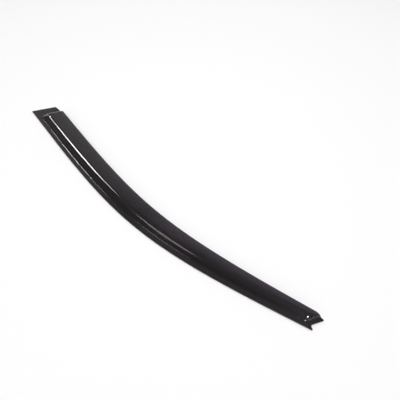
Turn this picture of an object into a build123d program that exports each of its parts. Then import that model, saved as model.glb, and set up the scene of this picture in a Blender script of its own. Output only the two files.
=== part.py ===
"""Side window rain deflector: one moulded sheet of smoke acrylic, in millimetres.

The sheet lies on its bonding flange with the outer face up. +X runs from the wide rear end to the
pointed nose, +Y from the bonding edge to the free edge, +Z away from the car door.
"""
import os
from math import atan2, cos, radians, sin, tan

from build123d import *

# Bonding edge, seen from above
chord = 999.5                 # rear corner to front corner, straight
rear_dip = radians(10.5)      # the edge leaves the rear corner this far below the chord
front_dip = radians(12.5)     # and comes up to the front corner at this angle
rear_lead = 129.0             # straight run before the arch
front_lead = 61.0             # and after it
rear_pull = 367.0             # how far the rear heading carries into the arch
front_pull = 358.0            # and the front heading

# Sheet and section
sheet = 3.0                   # wall, the same everywhere
side_flange = 12.0            # bonding edge to the foot of the long ramp
rear_flange = 25.0            # rear edge to the foot of the rear ramp
nose_flange = 8.0             # nose edge to the foot of the nose ramp
rear_slope = radians(45)      # rear ramp, and the long ramp where it starts
front_slope = radians(50)     # long ramp where it ends
nose_slope = radians(63)      # nose ramp
foot_radius = 4.0             # hollow between flange and ramp, outer face
crest_radius = 18.0           # rounding from ramp to visor, outer face
rear_turn = 10.0              # radius of the ramps' foot at the rear corner, seen from above
nose_turn = 18.0              # and at the nose corner

# Visor
crown_rear = 19.7             # height of the outer face over the rear corner
crown_middle = 20.0           # half way along
crown_front = 16.0            # and over the front corner
visor_rear = 72.5             # bonding edge to free edge at the rear end
visor_front = 37.0            # and at the nose
rear_taper = 0.005            # how fast the visor narrows at the rear end
front_taper = 0.056           # and at the nose

# Ends, each measured along and across the bonding edge from its own corner
rear_width = 66.5             # free corner of the rear flange, across
rear_rake = 30.0              # and how far it leans forward
rear_relief = 82.0            # the free edge draws in from here to that corner
nose_width = 31.5             # tip of the nose, across
nose_reach = 14.4             # and how far it stands forward
nose_relief = 4.0             # the free edge draws in from here to the tip
notch_width = 8.6             # inner corner of the nose edge, across
notch_depth = 9.5             # and how far it lies back
end_radius = 4.0              # free corner of the rear flange
tip_radius = 2.0              # rear corner, front corner and tip of the nose
notch_radius = 4.0            # inner corner of the nose
relief_radius = 40.0          # where the free edge starts to draw in
rim_radius = 1.0              # rounding all round the rim, outer face

# Room for trimming
margin = visor_rear           # the pan is drawn this far past the free edge and both ends
ramp_rise = crown_middle + 2 * sheet    # the ramps are drawn this high, past the crown

rear_lean = atan2(rear_rake, rear_width)
nose_lean = atan2(nose_reach + notch_depth, nose_width - notch_width)


def rear_point(along, across):
    """Plan point given from the rear corner of the bonding edge."""
    x = along * cos(rear_dip) + across * sin(rear_dip)
    y = across * cos(rear_dip) - along * sin(rear_dip)
    return Vector(x, y)


def front_point(along, across):
    """Plan point given from the front corner, where along is negative towards the rear."""
    x = chord + along * cos(front_dip) - across * sin(front_dip)
    y = across * cos(front_dip) + along * sin(front_dip)
    return Vector(x, y)


arch_span = (front_point(-front_lead, 0) - rear_point(rear_lead, 0)).length


def arch(rear_inset, narrow_rear, front_inset, narrow_front):
    """Curve that follows the bonding edge at an inset between the two straight leads."""
    start = rear_point(rear_lead, rear_inset - narrow_rear * rear_lead)
    end = front_point(-front_lead, front_inset + narrow_front * front_lead)
    scale = (end - start).length / arch_span
    rear_heading = (rear_point(1, -narrow_rear) - rear_point(0, 0)).normalized()
    front_heading = (front_point(1, -narrow_front) - front_point(0, 0)).normalized()
    rear_handle = start + rear_heading * rear_pull * scale
    front_handle = end - front_heading * front_pull * scale
    return Bezier(start, rear_handle, front_handle, end)


def rounded(lines, corners):
    """Face inside closed lines, its corners rounded as (point, radius) pairs say."""
    face = make_face(Curve() + lines)
    for point, radius in corners:
        face = fillet(face.vertices().sort_by_distance(point)[0], radius)
    return face


def pan_section(run_in, depth):
    """Outline of the raised pan at one height, given how far each ramp has run in by there."""
    rear_run, front_run, nose_run = run_in
    rear_inset = (rear_flange + rear_run) / cos(rear_lean)
    nose_inset = (nose_flange + nose_run) / cos(nose_lean) + notch_depth
    side_rear = side_flange + rear_run
    side_front = side_flange + front_run
    narrow = (side_rear - side_front) / chord
    side = arch(side_rear, narrow, side_front, narrow)

    def on_rear(across):
        return rear_point(across * tan(rear_lean) + rear_inset, across)

    def on_nose(across):
        return front_point((across - notch_width) * tan(nose_lean) - nose_inset, across)

    rear_bend = on_rear(side_rear)
    nose_bend = on_nose(side_front)
    rear_far = on_rear(visor_rear + margin)
    nose_far = on_nose(visor_front + margin)
    lines = [
        Line(rear_far, rear_bend),
        Line(rear_bend, side @ 0),
        side,
        Line(side @ 1, nose_bend),
        Line(nose_bend, nose_far),
        Line(nose_far, rear_far),
    ]
    return rounded(lines, [(rear_bend, rear_turn - depth / 2), (nose_bend, nose_turn - depth / 2)])


def roof(drop):
    """Everything below the crowned face of the visor, lowered by drop."""
    rear = (0, crown_rear - drop)
    middle = (chord / 2, crown_middle - drop)
    front = (chord, crown_front - drop)
    crown = ThreePointArc(rear, middle, front)
    disc = Pos(crown.arc_center) * Circle(crown.radius)
    return extrude(Plane.XZ * disc, 4 * margin, both=True)


def pan(depth, radius):
    """Pan whose faces lie depth below the outer face of the sheet, with a round crest."""
    slopes = [rear_slope, front_slope, nose_slope]
    low_run = [depth * tan(slope / 2) for slope in slopes]
    high_run = [depth * tan(slope / 2) + ramp_rise / tan(slope) for slope in slopes]
    low = pan_section(low_run, depth)
    high = pan_section(high_run, depth)
    foot = sheet - depth
    ramps = loft([Pos(0, 0, foot) * low, Pos(0, 0, foot + ramp_rise) * high], ruled=True)
    body = ramps & roof(depth)
    crest = body.faces().sort_by(Axis.Z)[-1].edges().sort_by(Axis.Y)[0]
    return fillet(crest, radius)


def foot_edge(body, height, inset):
    """Edge of the body where the long ramp meets the flange, at a height."""
    middle = arch(side_flange + inset, 0, side_flange + inset, 0) @ 0.5
    level = body.edges().filter_by_position(Axis.Z, height, height)
    return level.sort_by_distance(middle + Vector(0, 0, height))[0]


# A flat blank with the pan raised out of it, then hollowed to an even wall
blank = Pos(chord / 2, 0, 0) * Box(
    chord + 4 * margin, 8 * margin, sheet, align=(Align.CENTER, Align.CENTER, Align.MIN)
)
raised = blank + pan(0, crest_radius)
raised = fillet(foot_edge(raised, sheet, 0), foot_radius)
hollow = raised - pan(sheet, crest_radius - sheet)
hollow = fillet(foot_edge(hollow, 0, sheet / 2), foot_radius + sheet)

# Outline, seen from above
rear_corner = rear_point(0, 0)
front_corner = front_point(0, 0)
notch = front_point(-notch_depth, notch_width)
tip = front_point(nose_reach, nose_width)
nose_shoulder = front_point(-nose_relief, visor_front + front_taper * nose_relief)
rear_shoulder = rear_point(rear_relief, visor_rear - rear_taper * rear_relief)
rear_free = rear_point(rear_rake, rear_width)
bonding_edge = arch(0, 0, 0, 0)
free_edge = arch(visor_rear, rear_taper, visor_front, front_taper)
outline = rounded(
    [
        Line(rear_corner, bonding_edge @ 0),
        bonding_edge,
        Line(bonding_edge @ 1, front_corner),
        Line(front_corner, notch),
        Line(notch, tip),
        Line(tip, nose_shoulder),
        Line(nose_shoulder, free_edge @ 1),
        free_edge,
        Line(free_edge @ 0, rear_shoulder),
        Line(rear_shoulder, rear_free),
        Line(rear_free, rear_corner),
    ],
    [
        (rear_corner, tip_radius),
        (rear_free, end_radius),
        (front_corner, tip_radius),
        (tip, tip_radius),
        (notch, notch_radius),
        (nose_shoulder, relief_radius),
        (rear_shoulder, relief_radius),
    ],
)
deflector = hollow & extrude(outline, margin)

# Round the outer rim: the edge picked on the visor runs on all the way round
rim = free_edge @ 0.5 + Vector(0, 0, crown_middle)
deflector = fillet(deflector.edges().sort_by_distance(rim)[0], rim_radius)

# Stand the part on the middle of its footprint
box = deflector.bounding_box()
deflector = Pos(-box.center().X, -box.center().Y, -box.min.Z) * deflector
deflector.label = "deflector"

os.makedirs("parts", exist_ok=True)
export_step(deflector, "parts/deflector.step")
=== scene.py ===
"""Side window rain deflector in smoke acrylic: one moulded sheet on a white studio floor.

The sheet is a pan pressed out of a flat flange. Its faces are height fields over a grid that runs
along the bonding edge and across to the free edge, in millimetres, set in the frame in metres.
"""
from math import atan2, cos, pi, radians, sin, tan

import bpy
import numpy as np
from mathutils import Matrix, Vector


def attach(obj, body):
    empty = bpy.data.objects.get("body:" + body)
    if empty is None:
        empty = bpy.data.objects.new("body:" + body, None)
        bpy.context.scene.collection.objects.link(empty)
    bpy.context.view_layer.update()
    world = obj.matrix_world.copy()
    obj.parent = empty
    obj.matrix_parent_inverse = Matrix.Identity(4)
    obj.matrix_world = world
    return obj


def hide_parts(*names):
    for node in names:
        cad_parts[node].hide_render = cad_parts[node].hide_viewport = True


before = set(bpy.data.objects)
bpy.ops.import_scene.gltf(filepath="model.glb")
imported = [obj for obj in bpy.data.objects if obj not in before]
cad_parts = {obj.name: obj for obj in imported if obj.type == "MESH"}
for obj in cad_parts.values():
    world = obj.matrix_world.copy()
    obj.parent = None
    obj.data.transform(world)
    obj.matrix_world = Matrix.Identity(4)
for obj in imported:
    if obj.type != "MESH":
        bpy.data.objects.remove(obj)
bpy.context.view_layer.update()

MM = 0.001                    # a millimetre in metres

# Bonding edge, seen from above
chord = 999.5                 # rear corner to front corner, straight
rear_dip = radians(10.5)      # the edge leaves the rear corner this far below the chord
front_dip = radians(12.5)     # and comes up to the front corner at this angle
rear_lead = 129.0             # straight run before the arch
front_lead = 61.0             # and after it
rear_pull = 367.0             # how far the rear heading carries into the arch
front_pull = 358.0            # and the front heading

# Sheet and section
sheet = 3.0                   # wall, the same everywhere
side_flange = 12.0            # bonding edge to the foot of the long ramp
rear_flange = 25.0            # rear edge to the foot of the rear ramp
nose_flange = 8.0             # nose edge to the foot of the nose ramp
rear_slope = radians(45)      # rear ramp, and the long ramp where it starts
front_slope = radians(50)     # long ramp where it ends
nose_slope = radians(63)      # nose ramp
foot_radius = 4.0             # hollow between flange and ramp, outer face
crest_radius = 18.0           # rounding from ramp to visor, outer face
rear_turn = 10.0              # radius of the ramps' foot at the rear corner, seen from above
nose_turn = 18.0              # and at the nose corner

# Visor
crown_rear = 19.7             # height of the outer face over the rear corner
crown_middle = 20.0           # half way along
crown_front = 16.0            # and over the front corner
visor_rear = 72.5             # bonding edge to free edge at the rear end
visor_front = 37.0            # and at the nose
rear_taper = 0.005            # how fast the visor narrows at the rear end
front_taper = 0.056           # and at the nose

# Ends, each measured along and across the bonding edge from its own corner
rear_width = 66.5             # free corner of the rear flange, across
rear_rake = 30.0              # and how far it leans forward
rear_relief = 82.0            # the free edge draws in from here to that corner
nose_width = 31.5             # tip of the nose, across
nose_reach = 14.4             # and how far it stands forward
nose_relief = 4.0             # the free edge draws in from here to the tip
notch_width = 8.6             # inner corner of the nose edge, across
notch_depth = 9.5             # and how far it lies back
end_radius = 4.0              # free corner of the rear flange
tip_radius = 2.0              # rear corner, front corner and tip of the nose
notch_radius = 4.0            # inner corner of the nose
relief_radius = 40.0          # where the free edge starts to draw in
rim_radius = 1.0              # rounding all round the rim, outer face

# Smoke acrylic, in millimetres where it is a size
ACRYLIC_IOR = 1.49
SMOKE_DEEP = "#393542"        # white paper seen through the sheet where the pigment is dense
SMOKE_PALE = "#3f3b48"        # and where it is thin
GLOSS_TINT = "#fff4e9"        # mirrored light comes back a little warm
CLOUD = 90.0                  # clouds of pigment
STREAK_LENGTH = 70.0          # wiping streaks along the part
STREAK_WIDTH = 2.5            # and across it
STREAK_RANGE = (0.3, 0.7)     # noise from no streak to a full one
GLOSS_CLEAR = 0.07            # roughness between the streaks
GLOSS_WIPED = 0.11            # and in them
GLOSS_RIM = 0.3               # satin rim where the flash was trimmed
WAVE = 45.0                   # waviness of the mould
WAVE_DEPTH = 0.03             # and its depth
PEEL = 2.2                    # fine unevenness, drawn about three times as coarse so that it shows
PEEL_DEPTH = 0.0006           # and its depth

# Studio
PAPER = "#fbfbfb"             # white paper floor
WHITE = "#ffffff"             # the light overhead and the room
DAYLIGHT = "#eef5ff"          # the lights that show in the gloss are a little cool
FLOOR_SIZE = 20.0             # metres
FLOOR_LEVEL = -0.4            # millimetres, clear of the flange
ROOM_LOW = 0.50               # brightness of the room near the floor
ROOM_HIGH = 0.84              # half way up
ROOM_TOP = 0.48               # share of that which is left overhead
ROOM_NEAR = 0.55              # share on the side that the bonding edge faces
ROOM_RISE = (0.05, 0.65)      # sines of the heights between which it brightens
ROOM_FALL = (0.74, 0.98)      # and between which it dims overhead
ROOM_ASIDE = (-0.12, 0.22)    # and of the turn from the bonding edge's side to the free edge's

# Grid that the faces are computed on
spare = 50.0                  # the bonding line is carried this far past both corners
nearest_steps = 4             # steps taken to the nearest point of the bonding edge
arc_steps = 8                 # steps in half of a bend of the outline
rim_steps = 6                 # steps in the rim's quarter round
arch_points = 401             # points along each arch
arch_lines = 250              # cross lines over the arch
arch_end = 0.93               # share of the arch where they start to fan out towards the nose
fan_lines = 24                # cross lines in each fan between the arch and an end
end_strip = 4.0               # finely divided strip along both ends
rear_band = 57.0              # cross lines keep parallel to the rear edge this far in
rear_steps = (10, 106)        # cross lines in the rear strip and in the rest of the band
nose_band = 30.0              # and parallel to the nose edge this far in
nose_steps = (60, 12)         # the rest of that band, and its strip
row_steps = (11, 2, 10, 7, 22, 24)    # rows to the notch, flange, foot, ramp, crest and visor
crest_room = 3.0              # the crest's rows keep this far from the free edge
rear_fade = 12.0              # the outline's corners are eased into the grid over this distance
nose_fade = 24.0              # and over this one at the nose
edge_fade = 8.0               # and over this one along the long edges
touching = 1e-6               # points this near to a line of the border lie on it
crisp_angle = radians(40)     # edges sharper than this are shaded crisp

rear_lean = atan2(rear_rake, rear_width)
nose_lean = atan2(nose_reach + notch_depth, nose_width - notch_width)


def cot(angle):
    """Run per rise of a slope."""
    return 1 / tan(angle)


def unit(vector):
    """Vectors along the last axis, made one long."""
    return vector / np.linalg.norm(vector, axis=-1, keepdims=True)


def from_rear(along, across):
    """Plan points from distances along and across the bonding edge at its rear corner."""
    x = along * cos(rear_dip) + across * sin(rear_dip)
    y = across * cos(rear_dip) - along * sin(rear_dip)
    return np.stack([x, y], axis=-1)


def from_front(along, across):
    """Plan points from distances at the front corner, where along is negative towards the rear."""
    x = chord + along * cos(front_dip) - across * sin(front_dip)
    y = across * cos(front_dip) + along * sin(front_dip)
    return np.stack([x, y], axis=-1)


def behind_rear(plan):
    """Distance of plan points in from the rear edge: the part of their offset square to it."""
    along = plan[..., 0] * cos(rear_dip) - plan[..., 1] * sin(rear_dip)
    across = plan[..., 0] * sin(rear_dip) + plan[..., 1] * cos(rear_dip)
    return along * cos(rear_lean) - across * sin(rear_lean)


def behind_nose(plan):
    """Distance of plan points in from the line of the nose edge, square to it."""
    along = (plan[..., 0] - chord) * cos(front_dip) + plan[..., 1] * sin(front_dip)
    across = plan[..., 1] * cos(front_dip) - (plan[..., 0] - chord) * sin(front_dip)
    return (across - notch_width) * sin(nose_lean) - (along + notch_depth) * cos(nose_lean)


def arch(rear_inset, narrow_rear, front_inset, narrow_front, share):
    """Cubic Bezier at an inset between the straight leads: its handles lie along the leads' headings,
    as long as the pulls times the arch's span over the bonding edge's own span."""
    start = from_rear(rear_lead, rear_inset - narrow_rear * rear_lead)
    end = from_front(-front_lead, front_inset + narrow_front * front_lead)
    own_span = np.linalg.norm(from_front(-front_lead, 0) - from_rear(rear_lead, 0))
    scale = np.linalg.norm(end - start) / own_span
    rear_heading = unit(from_rear(1, -narrow_rear) - from_rear(0, 0))
    front_heading = unit(from_front(1, -narrow_front) - from_front(0, 0))
    rear_handle = start + rear_heading * rear_pull * scale
    front_handle = end - front_heading * front_pull * scale
    t = share[:, None]
    bends = 3 * (1 - t) ** 2 * t * rear_handle + 3 * (1 - t) * t**2 * front_handle
    return (1 - t) ** 3 * start + bends + t**3 * end


def round_corner(corner, toward, other, radius, reach):
    """Points of the arc that rounds a corner between two headings away from it. Reach is a distance
    from the sharp corner along the first heading: 0 is the arc's middle, and the tangent length its
    end, and the arc turns in proportion between them."""
    half = np.arccos(np.clip(np.dot(toward, other), -1, 1)) / 2
    middle = unit(toward + other)
    centre = corner + middle * radius / sin(half)
    length = radius / tan(half)
    end = (corner + toward * length - centre) / radius
    turn = pi / 2 - half
    share = np.clip(reach / length, 0, 1)[:, None]
    spoke = (np.sin((1 - share) * turn) * -middle + np.sin(share * turn) * end) / sin(turn)
    return centre + radius * spoke, length


def bend(before, corner, after, radius):
    """Arc points, in order, where a line of the outline bends at a corner."""
    steps = np.linspace(0, 1, arc_steps + 1)
    toward = unit(before - corner)
    other = unit(after - corner)
    length = round_corner(corner, toward, other, radius, steps)[1]
    first = round_corner(corner, toward, other, radius, steps[::-1] * length)[0]
    second = round_corner(corner, other, toward, radius, steps[1:] * length)[0]
    return np.concatenate([first, second])


class Path:
    """A plan line through points, read by the length run along it from a zero point."""

    def __init__(self, points, zero=0.0):
        steps = np.linalg.norm(np.diff(points, axis=0), axis=1)
        self.points = points
        self.run = np.concatenate([[0.0], np.cumsum(steps)]) - zero
        self.heading = unit(np.gradient(points, self.run, axis=0))

    def at(self, run):
        """Points at the lengths given, on the straight pieces between the line's points."""
        return np.stack([np.interp(run, self.run, self.points[:, k]) for k in (0, 1)], axis=-1)

    def headed(self, run):
        """Headings at the lengths given, turning evenly from point to point."""
        return unit(np.stack([np.interp(run, self.run, self.heading[:, k]) for k in (0, 1)], axis=-1))


# Corners of the outline and its two long edges
rear_corner = from_rear(0, 0)
front_corner = from_front(0, 0)
notch = from_front(-notch_depth, notch_width)
tip = from_front(nose_reach, nose_width)
nose_shoulder = from_front(-nose_relief, visor_front + front_taper * nose_relief)
rear_shoulder = from_rear(rear_relief, visor_rear - rear_taper * rear_relief)
rear_free = from_rear(rear_rake, rear_width)

arch_share = np.linspace(0, 1, arch_points)
bonding_arch = arch(0, 0, 0, 0, arch_share)
free_arch = arch(visor_rear, rear_taper, visor_front, front_taper, arch_share)
bonding = Path(np.concatenate([[from_rear(-spare, 0)], bonding_arch, [from_front(spare, 0)]]), spare)
bonding_length = bonding.run[-1] - spare
rear_bend = bend(rear_free, rear_shoulder, free_arch[0], relief_radius)
nose_bend = bend(free_arch[-1], nose_shoulder, tip, relief_radius)
free = Path(np.concatenate([[rear_free], rear_bend, free_arch, nose_bend, [tip]]))
before_arch = 1 + len(rear_bend)
free_arch_run = free.run[before_arch:before_arch + arch_points]


def crown(x):
    """Height of the visor's outer face: the circle through its three crown heights."""
    ends = np.array([[0, crown_rear], [chord / 2, crown_middle], [chord, crown_front]])
    rows = np.column_stack([2 * ends, np.ones(3)])
    centre_x, centre_z, rest = np.linalg.solve(rows, (ends**2).sum(axis=1))
    square = rest + centre_x**2 + centre_z**2
    return centre_z + np.sqrt(square - (x - centre_x) ** 2)


def side_cot(run):
    """Run per rise of the long ramp, even from its rear slope to its front slope."""
    return cot(rear_slope) + (cot(front_slope) - cot(rear_slope)) * run / bonding_length


def inset(plan, run):
    """Length along and distance in from the bonding edge. The nearest point of the edge is found by
    stepping along it by what is left of the offset in its heading."""
    for _ in range(nearest_steps):
        run = run + ((plan - bonding.at(run)) * bonding.headed(run)).sum(axis=-1)
    heading = bonding.headed(run)
    offset = plan - bonding.at(run)
    return run, heading[..., 0] * offset[..., 1] - heading[..., 1] * offset[..., 0]


def turned(rise, run_per_rise, side, side_run, end, end_run, cosine, radius):
    """Ramps that meet round a corner. At every height the corner is an arc of one radius, whose centre
    moves in with both ramps, so the height at a point solves a quadratic: its distance from the centre
    is the radius. Distances are measured from the two feet, which meet at the angle of that cosine."""
    a = side - radius
    e = end - radius
    square = side_run**2 + end_run**2 + 2 * side_run * end_run * cosine
    slope = a * side_run + e * end_run + cosine * (a * end_run + e * side_run)
    sine_square = 1 - cosine**2
    rest = a**2 + e**2 + 2 * a * e * cosine - radius**2 * sine_square
    level = (slope + np.sqrt(np.maximum(slope**2 - square * rest, 0))) / square
    a = a - level * side_run
    e = e - level * end_run
    within = (a + e * cosine < 0) & (e + a * cosine < 0)
    moving = np.abs(a * side_run + e * end_run + cosine * (a * end_run + e * side_run))
    rise = np.where(within, level, rise)
    return rise, np.where(within, moving / (radius * sine_square), run_per_rise)


def height(plan, run, depth):
    """Height of the face that lies depth below the outer one, over plan points. The lowest of the
    three ramps is taken, turned round its corners, then an arc joins it to the flange at the foot and
    another to the crown at the crest, each tangent to both."""
    run, across = inset(plan, run)
    side_run = side_cot(run)
    side = across - side_flange - depth * np.tan(np.arctan2(1, side_run) / 2)
    rear = behind_rear(plan) - rear_flange - depth * tan(rear_slope / 2)
    nose = behind_nose(plan) - nose_flange - depth * tan(nose_slope / 2)
    rises = np.stack([side / side_run, rear / cot(rear_slope), nose / cot(nose_slope)])
    runs = np.stack([side_run, side_run * 0 + cot(rear_slope), side_run * 0 + cot(nose_slope)])
    lowest = rises.argmin(axis=0)[None]
    rise = np.take_along_axis(rises, lowest, axis=0)[0]
    ramp_run = np.take_along_axis(runs, lowest, axis=0)[0]
    corners = (
        (rear, cot(rear_slope), sin(rear_lean), rear_turn),
        (nose, cot(nose_slope), -sin(nose_lean), nose_turn),
    )
    for end, end_run, cosine, radius in corners:
        rise, ramp_run = turned(
            rise, ramp_run, side, side_run, end, end_run, cosine, radius - depth / 2
        )
    angle = np.arctan2(1, ramp_run)
    past = rise * ramp_run
    foot = foot_radius + depth
    foot_in = past + foot * np.tan(angle / 2)
    bowl = foot - np.sqrt(np.maximum(foot**2 - np.clip(foot_in, 0, foot * np.sin(angle)) ** 2, 0))
    level = np.where(foot_in < foot * np.sin(angle), bowl, rise)
    crest = crest_radius - depth
    top = crown(plan[..., 0]) - sheet
    short = top * ramp_run + crest * np.tan(angle / 2) - past
    dome = top - crest + np.sqrt(np.maximum(crest**2 - np.clip(short, 0, crest) ** 2, 0))
    level = np.where(short < crest * np.sin(angle), dome, level)
    return sheet - depth + level


def spread(marks, counts):
    """Values from mark to mark, with the given number of even steps between each pair."""
    pieces = [np.linspace(a, b, n, endpoint=False) for a, b, n in zip(marks, marks[1:], counts)]
    return np.concatenate([*pieces, marks[-1:]])


def stations():
    """Where each cross line of the grid meets the bonding edge and the free edge. The lines are
    parallel to the rear edge over the rear ramp and to the nose edge over the nose ramp, share the
    arch's parameter between, and fan out evenly from the one to the other."""
    rear_in = spread([0.0, end_strip, rear_band], rear_steps)
    rear_bond = rear_in / cos(rear_lean)
    rear_free_run = np.interp(rear_in, behind_rear(free.points), free.run)
    nose_in = spread([nose_band, end_strip, 0.0], nose_steps)
    # The line of the nose edge meets the bonding edge here, from the front corner
    nose_start = -notch_depth - notch_width * tan(nose_lean)
    nose_bond = bonding_length + nose_start - nose_in / cos(nose_lean)
    nose_free_run = np.interp(nose_in, behind_nose(free.points)[::-1], free.run[::-1])
    arch_middle = np.linspace(0.0, arch_end, arch_lines)
    arch_bond = np.interp(arch_middle, arch_share, bonding.run[1:-1])
    arch_free = np.interp(arch_middle, arch_share, free_arch_run)
    fan = np.linspace(0, 1, fan_lines + 2)[1:-1]

    def joined(rear, middle, nose):
        """The three stretches in order, with an even fan between each two."""
        opening = rear[-1] + (middle[0] - rear[-1]) * fan
        closing = middle[-1] + (nose[0] - middle[-1]) * fan
        return np.concatenate([rear, opening, middle, closing, nose])

    return joined(rear_bond, arch_bond, nose_bond), joined(rear_free_run, arch_free, nose_free_run)


def rows(run, width):
    """Share of the width at each row of the grid. The rows are evenly spaced from mark to mark: the
    notch, the foot and the crest of the long ramp, drawn in where the sheet is narrow. On the visor
    they follow a sine, and so crowd towards the free edge."""
    ramp_run = side_cot(run)
    angle = np.arctan2(1, ramp_run)
    reach = (crown(run * chord / bonding_length) - sheet) * ramp_run
    foot = foot_radius * np.tan(angle / 2)
    crest = crest_radius * np.tan(angle / 2)
    foot_end = side_flange + foot * np.cos(angle)
    crest_start = side_flange + reach - crest * np.cos(angle)
    crest_end = side_flange + reach + crest
    squeeze = np.minimum(1, (width - crest_room - foot_end) / (crest_end - foot_end))
    marks = np.stack([
        width * 0,
        width * 0 + notch_width,
        side_flange - foot,
        foot_end,
        foot_end + (crest_start - foot_end) * squeeze,
        foot_end + (crest_end - foot_end) * squeeze,
        width,
    ])
    visor = len(row_steps) - 1
    steps = spread(list(range(visor + 2)), row_steps)
    on_visor = steps > visor
    steps[on_visor] = visor + np.sin((steps[on_visor] - visor) * pi / 2)
    whole = np.minimum(steps.astype(int), visor)
    part = (steps - whole)[:, None]
    return ((marks[whole] * (1 - part) + marks[whole + 1] * part) / width).T


def loop(grid):
    """Values round the border of a grid: along the bonding edge, up the nose, back along the free
    edge and down the rear edge."""
    return np.concatenate([grid[:-1, 0], grid[-1, :-1], grid[:0:-1, -1], grid[0, :0:-1]])


def eased_in(plan, border, shift):
    """Grid moved so that its border takes the shift: each side's shift fades out by that side's weight
    in border, and what two sides share at a corner counts once."""
    near_rear, near_nose, near_bond, near_free = border
    moved = (
        near_rear * shift[0] + near_nose * shift[1] + near_bond * shift[2] + near_free * shift[3]
        - near_rear * near_bond * shift[0][:, :1] - near_rear * near_free * shift[0][:, -1:]
        - near_nose * near_bond * shift[1][:, :1] - near_nose * near_free * shift[1][:, -1:]
    )
    return plan + moved


def sides(border_shift, shape):
    """Shifts round the border, split into rear, nose, bonding and free side."""
    n, m = shape
    closed = np.concatenate([border_shift, border_shift[:1]])
    bond = closed[:n]
    nose = closed[n - 1:n + m - 1]
    free_side = closed[n + m - 2:2 * n + m - 2][::-1]
    rear = closed[2 * n + m - 3:][::-1]
    return rear[None], nose[None], bond[:, None], free_side[:, None]


def rounded_off(line, spot, toward, other, radius):
    """Border line whose points within reach of a sharp corner are moved on to the corner's arc."""
    for heading, rest in ((toward, other), (other, toward)):
        offset = line - spot
        reach = (offset * heading).sum(axis=-1)
        aside = np.abs(offset[:, 0] * heading[1] - offset[:, 1] * heading[0])
        arc, length = round_corner(spot, heading, rest, radius, reach)
        on_arc = (aside < touching) & (reach > -touching) & (reach < length)
        line = np.where(on_arc[:, None], arc, line)
    return line


def sheet_grid():
    """Plan points of the grid out to the outline, the length along the bonding edge at each, and the
    fading weights of its four borders."""
    bond_run, free_run = stations()
    start = bonding.at(bond_run)
    end = free.at(free_run)
    width = inset(end, bond_run)[1]
    share = rows(np.clip(bond_run, 0, bonding_length), width)
    plan = start[:, None] + (end - start)[:, None] * share[..., None]
    run = np.broadcast_to(bond_run[:, None], share.shape)
    across = share * width[:, None]

    near_rear = np.clip(1 - behind_rear(plan) / rear_fade, 0, 1)[..., None]
    near_nose = np.clip(1 - behind_nose(plan) / nose_fade, 0, 1)[..., None]
    near_bond = np.clip(1 - across / edge_fade, 0, 1)[..., None]
    near_free = np.clip(1 - (width[:, None] - across) / edge_fade, 0, 1)[..., None]

    # The last cross line is drawn out from the notch to the front corner
    spike = np.clip(1 - across[-1] / notch_width, 0, None)
    reach = spike * (notch_depth + notch_width * tan(nose_lean))
    plan = plan + near_nose * reach[None, :, None] * (from_front(1, 0) - from_front(0, 0))

    border = loop(plan)
    bond_rear = unit(from_rear(1, 0) - rear_corner)
    bond_front = unit(from_front(-1, 0) - front_corner)
    up_rear = unit(rear_free - rear_corner)
    up_nose = unit(tip - notch)
    spike_edge = unit(notch - front_corner)
    rounded = border
    for spot, toward, other, radius in (
        (rear_corner, bond_rear, up_rear, tip_radius),
        (rear_free, -up_rear, unit(rear_shoulder - rear_free), end_radius),
        (front_corner, bond_front, spike_edge, tip_radius),
        (notch, -spike_edge, up_nose, notch_radius),
        (tip, -up_nose, unit(nose_shoulder - tip), tip_radius),
    ):
        rounded = rounded_off(rounded, spot, toward, other, radius)
    weights = (near_rear, near_nose, near_bond, near_free)
    plan = eased_in(plan, weights, sides(rounded - border, share.shape))
    return plan, run, weights


def outward(line):
    """Headings square to a closed border line, away from what it encloses."""
    ahead = np.roll(line, -1, axis=0) - line
    behind = line - np.roll(line, 1, axis=0)
    heading = unit(unit(ahead) + unit(behind))
    return np.stack([heading[:, 1], -heading[:, 0]], axis=-1)


def grid_faces(numbers):
    """Quads between neighbouring vertex numbers of a grid, seen from above."""
    quads = [numbers[:-1, :-1], numbers[1:, :-1], numbers[1:, 1:], numbers[:-1, 1:]]
    return np.stack(quads, axis=-1).reshape(-1, 4)


def moulded_sheet():
    """Closed shell of the deflector: the outer face drawn in by the rim's radius, a quarter round down
    its border, a plain wall below that, and the inner face out to the outline."""
    plan, run, weights = sheet_grid()
    shape = run.shape
    outline = loop(plan)
    facing = outward(outline)
    outer_plan = eased_in(plan, weights, sides(-rim_radius * facing, shape))
    outer = np.dstack([outer_plan, height(outer_plan, run, 0.0)])
    inner = np.dstack([plan, height(plan, run, sheet)])
    top = loop(outer)[:, 2]

    turn = np.linspace(0, pi / 2, rim_steps + 1)[1:, None]
    rim_plan = outline[None] - facing[None] * (rim_radius * (1 - np.sin(turn)))[..., None]
    rim_z = top[None] - rim_radius * (1 - np.cos(turn))
    rim = np.concatenate([rim_plan, rim_z[..., None]], axis=-1)

    count = run.size
    outer_numbers = np.arange(count).reshape(shape)
    inner_numbers = outer_numbers + count
    rim_numbers = 2 * count + np.arange(rim.shape[0] * rim.shape[1]).reshape(rim.shape[:2])
    ring = np.vstack([loop(outer_numbers), rim_numbers, loop(inner_numbers)])
    ring = np.hstack([ring, ring[:, :1]])
    vertices = np.concatenate([outer.reshape(-1, 3), inner.reshape(-1, 3), rim.reshape(-1, 3)])
    faces = np.concatenate([
        grid_faces(outer_numbers),
        grid_faces(inner_numbers)[:, ::-1],
        grid_faces(ring),
    ])
    low = vertices.min(axis=0)
    middle = (low + vertices.max(axis=0)) / 2
    vertices = vertices - [middle[0], middle[1], low[2]]
    on_rim = np.zeros(len(vertices))
    on_rim[rim_numbers] = 1.0
    return vertices * MM, faces, on_rim


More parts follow.
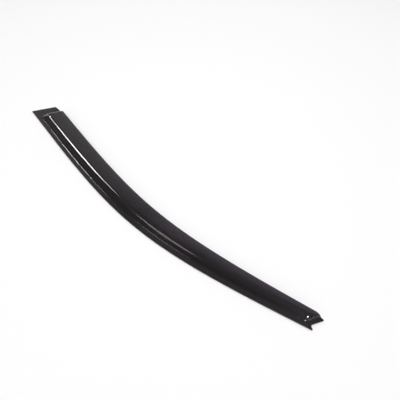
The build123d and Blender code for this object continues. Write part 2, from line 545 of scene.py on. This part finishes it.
def mesh_piece(name, vertices, faces, on_rim, material):
    """Smooth mesh object at the origin, with edges sharper than the rim's rounding kept crisp. The points
    of the rim carry a 1 in the attribute that the material reads its trimmed finish from."""
    mesh = bpy.data.meshes.new(name)
    mesh.from_pydata(vertices.tolist(), [], faces.tolist())
    mesh.attributes.new("rim", "FLOAT", "POINT").data.foreach_set("value", on_rim)
    mesh.polygons.foreach_set("use_smooth", np.ones(len(faces), dtype=bool))
    mesh.set_sharp_from_angle(angle=crisp_angle)
    mesh.materials.append(material)
    mesh.validate()
    piece = bpy.data.objects.new(name, mesh)
    bpy.context.scene.collection.objects.link(piece)
    return piece


def linear(hex_colour):
    """sRGB hex colour as linear RGBA, by the sRGB curve."""
    code = np.array([int(hex_colour[k:k + 2], 16) for k in (1, 3, 5)]) / 255
    value = np.where(code <= 0.04045, code / 12.92, ((code + 0.055) / 1.055) ** 2.4)
    return (*value.tolist(), 1.0)


def add(tree, kind, settings=None, **inputs):
    """Adds a node to a tree, with its settings and with values or links on its inputs. An input goes by
    its name, with _ for a space, or by _ and its number."""
    node = tree.nodes.new(kind)
    for key, value in (settings or {}).items():
        setattr(node, key, value)
    for key, value in inputs.items():
        socket = node.inputs[int(key[1:])] if key[0] == "_" else node.inputs[key.replace("_", " ")]
        if isinstance(value, bpy.types.NodeSocket):
            tree.links.new(value, socket)
        else:
            socket.default_value = value
    return node


def smoke_acrylic():
    """Acrylic tinted smoke and moulded against polished steel. The eye sees a dark gloss that mirrors the
    room, a faint waviness from the tool and streaks from wiping in it, cloudy pigment, a satin rim where
    the flash was trimmed, and white paper through it as dark grey."""
    material = bpy.data.materials.new("smoke_acrylic")
    material.use_nodes = True
    tree = material.node_tree
    tree.nodes.clear()
    where = add(tree, "ShaderNodeTexCoord").outputs["Object"]

    cloud = add(
        tree, "ShaderNodeTexNoise", Vector=where, Scale=1 / (CLOUD * MM), Detail=2.0, Roughness=0.5,
    )
    tint = add(
        tree, "ShaderNodeMix", {"data_type": "RGBA"},
        Factor=cloud.outputs[0], _6=linear(SMOKE_DEEP), _7=linear(SMOKE_PALE),
    )

    per_length = 1 / (STREAK_LENGTH * MM)
    per_width = 1 / (STREAK_WIDTH * MM)
    stretched = add(tree, "ShaderNodeMapping", Vector=where, Scale=(per_length, per_width, per_width))
    streak = add(
        tree, "ShaderNodeTexNoise",
        Vector=stretched.outputs["Vector"], Scale=1.0, Detail=4.0, Roughness=0.6,
    )
    gloss = add(
        tree, "ShaderNodeMapRange",
        Value=streak.outputs[0], From_Min=STREAK_RANGE[0], From_Max=STREAK_RANGE[1],
        To_Min=GLOSS_CLEAR, To_Max=GLOSS_WIPED,
    )
    rim = add(tree, "ShaderNodeAttribute", {"attribute_name": "rim"})
    finish = add(
        tree, "ShaderNodeMix", {"data_type": "FLOAT"},
        Factor=rim.outputs["Fac"], _2=gloss.outputs[0], _3=GLOSS_RIM,
    )

    wave = add(
        tree, "ShaderNodeTexNoise", Vector=where, Scale=1 / (WAVE * MM), Detail=1.0, Roughness=0.4,
    )
    peel = add(
        tree, "ShaderNodeTexNoise", Vector=where, Scale=1 / (PEEL * MM), Detail=2.0, Roughness=0.5,
    )
    waved = add(
        tree, "ShaderNodeBump", Height=wave.outputs[0], Distance=WAVE_DEPTH * MM, Strength=1.0,
    )
    peeled = add(
        tree, "ShaderNodeBump",
        Height=peel.outputs[0], Distance=PEEL_DEPTH * MM, Strength=1.0, Normal=waved.outputs[0],
    )
    acrylic = add(
        tree, "ShaderNodeBsdfPrincipled",
        Base_Color=tint.outputs[2], Roughness=finish.outputs[0], Normal=peeled.outputs[0],
        IOR=ACRYLIC_IOR, Specular_Tint=linear(GLOSS_TINT), Transmission_Weight=1.0,
    )
    add(tree, "ShaderNodeOutputMaterial", Surface=acrylic.outputs["BSDF"])
    return material


# The deflector
sheet_material = smoke_acrylic()
deflector = mesh_piece("smoke_sheet", *moulded_sheet(), sheet_material)
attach(deflector, "root")
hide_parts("deflector")


def white_floor():
    """Wide sheet of white paper just under the flange."""
    half = FLOOR_SIZE / 2
    drop = FLOOR_LEVEL * MM
    corners = [(-half, -half, drop), (half, -half, drop), (half, half, drop), (-half, half, drop)]
    mesh = bpy.data.meshes.new("floor")
    mesh.from_pydata(corners, [], [(0, 1, 2, 3)])
    material = bpy.data.materials.new("white_paper")
    material.use_nodes = True
    tree = material.node_tree
    tree.nodes.clear()
    paper = add(tree, "ShaderNodeBsdfDiffuse", Color=linear(PAPER))
    add(tree, "ShaderNodeOutputMaterial", Surface=paper.outputs[0])
    mesh.materials.append(material)
    floor = bpy.data.objects.new("floor", mesh)
    bpy.context.scene.collection.objects.link(floor)


white_floor()

scene = bpy.context.scene
scene.view_settings.view_transform = "Standard"


def soft_light(name, location, target, along, length, width, radiance, beam=pi):
    """Oval soft light that faces a target, its long axis as near as can be to a heading and its beam
    as wide as an angle. It shows in the gloss alone, and leaves the paper to the light overhead."""
    lamp = bpy.data.lights.new(name, "AREA")
    lamp.shape = "ELLIPSE"
    lamp.size = length
    lamp.size_y = width
    lamp.spread = beam
    lamp.color = linear(DAYLIGHT)[:3]
    oval = pi * length * width / 4
    lamp.energy = radiance * pi * oval
    back = (Vector(location) - Vector(target)).normalized()
    side = (Vector(along) - back * back.dot(Vector(along))).normalized()
    light = bpy.data.objects.new(name, lamp)
    light.matrix_world = Matrix((side, back.cross(side), back)).transposed().to_4x4()
    light.location = location
    light.visible_camera = False
    light.visible_diffuse = False
    scene.collection.objects.link(light)
    return light


# Two windows side by side, for the long line in the rear half of the crest and the foot
window_slant = (1.44, -0.61, 0.97)
soft_light(
    "window_strip", location=(-3.07, -1.185, 2.565), target=(-0.2, 0, 0), along=window_slant,
    length=2.02, width=0.55, radiance=20.0,
)
soft_light(
    "window_core", location=(-3.15, -1.13, 2.51), target=(-0.2, 0, 0), along=window_slant,
    length=1.15, width=0.95, radiance=20.0,
)
# A lower and paler window, for the line in the front half
soft_light(
    "low_window", location=(-0.95, -3.55, 1.55), target=(0.1, 0, 0), along=(1.69, -0.31, 0.32),
    length=1.9, width=1.7, radiance=3.9,
)
# A lamp near the nose, for the two bright spots on its ramp
soft_light(
    "nose_lamp", location=(0.955, -0.752, 0.335), target=(0.468, 0.017, 0.008), along=(1, 0, 0),
    length=0.24, width=0.24, radiance=2.4, beam=radians(12),
)
# The large light overhead, which lights the paper and casts the soft shadow
overhead = soft_light(
    "overhead", location=(0.0, 0.1, 3.1), target=(0, 0, 0), along=(1, 0, 0),
    length=3.0, width=3.0, radiance=2.8,
)
overhead.data.color = linear(WHITE)[:3]
overhead.visible_diffuse = True
overhead.visible_glossy = False

# The room: paler half way up than near the floor and overhead, darker on the bonding edge's side
world = bpy.data.worlds.new("studio")
scene.world = world
world.use_nodes = True
room = world.node_tree
room.nodes.clear()
smooth = {"interpolation_type": "SMOOTHSTEP"}
product = {"operation": "MULTIPLY"}
heading = add(room, "ShaderNodeTexCoord").outputs["Generated"]
toward = add(room, "ShaderNodeSeparateXYZ", Vector=heading).outputs
rise = add(
    room, "ShaderNodeMapRange", smooth,
    Value=toward["Z"], From_Min=ROOM_RISE[0], From_Max=ROOM_RISE[1], To_Min=ROOM_LOW, To_Max=ROOM_HIGH,
)
fall = add(
    room, "ShaderNodeMapRange", smooth,
    Value=toward["Z"], From_Min=ROOM_FALL[0], From_Max=ROOM_FALL[1], To_Min=1.0, To_Max=ROOM_TOP,
)
aside = add(
    room, "ShaderNodeMapRange", smooth,
    Value=toward["Y"], From_Min=ROOM_ASIDE[0], From_Max=ROOM_ASIDE[1], To_Min=ROOM_NEAR, To_Max=1.0,
)
upright = add(room, "ShaderNodeMath", product, _0=rise.outputs[0], _1=fall.outputs[0])
level = add(room, "ShaderNodeMath", product, _0=upright.outputs[0], _1=aside.outputs[0])
glow = add(room, "ShaderNodeBackground", Color=linear(WHITE), Strength=level.outputs[0])
add(room, "ShaderNodeOutputWorld", Surface=glow.outputs[0])

# Camera over the nose end, looking down along the part
camera_tilt = radians(30.2)
camera_turn = radians(39.94)
camera_data = bpy.data.cameras.new("camera")
camera_data.sensor_width = 36.0
camera_data.lens = 28.035
camera_data.clip_start = 0.01
camera = bpy.data.objects.new("camera", camera_data)
camera.location = (0.3708, -0.2165, 0.7068)
camera.rotation_euler = (camera_tilt, 0, camera_turn)
scene.collection.objects.link(camera)
scene.camera = camera
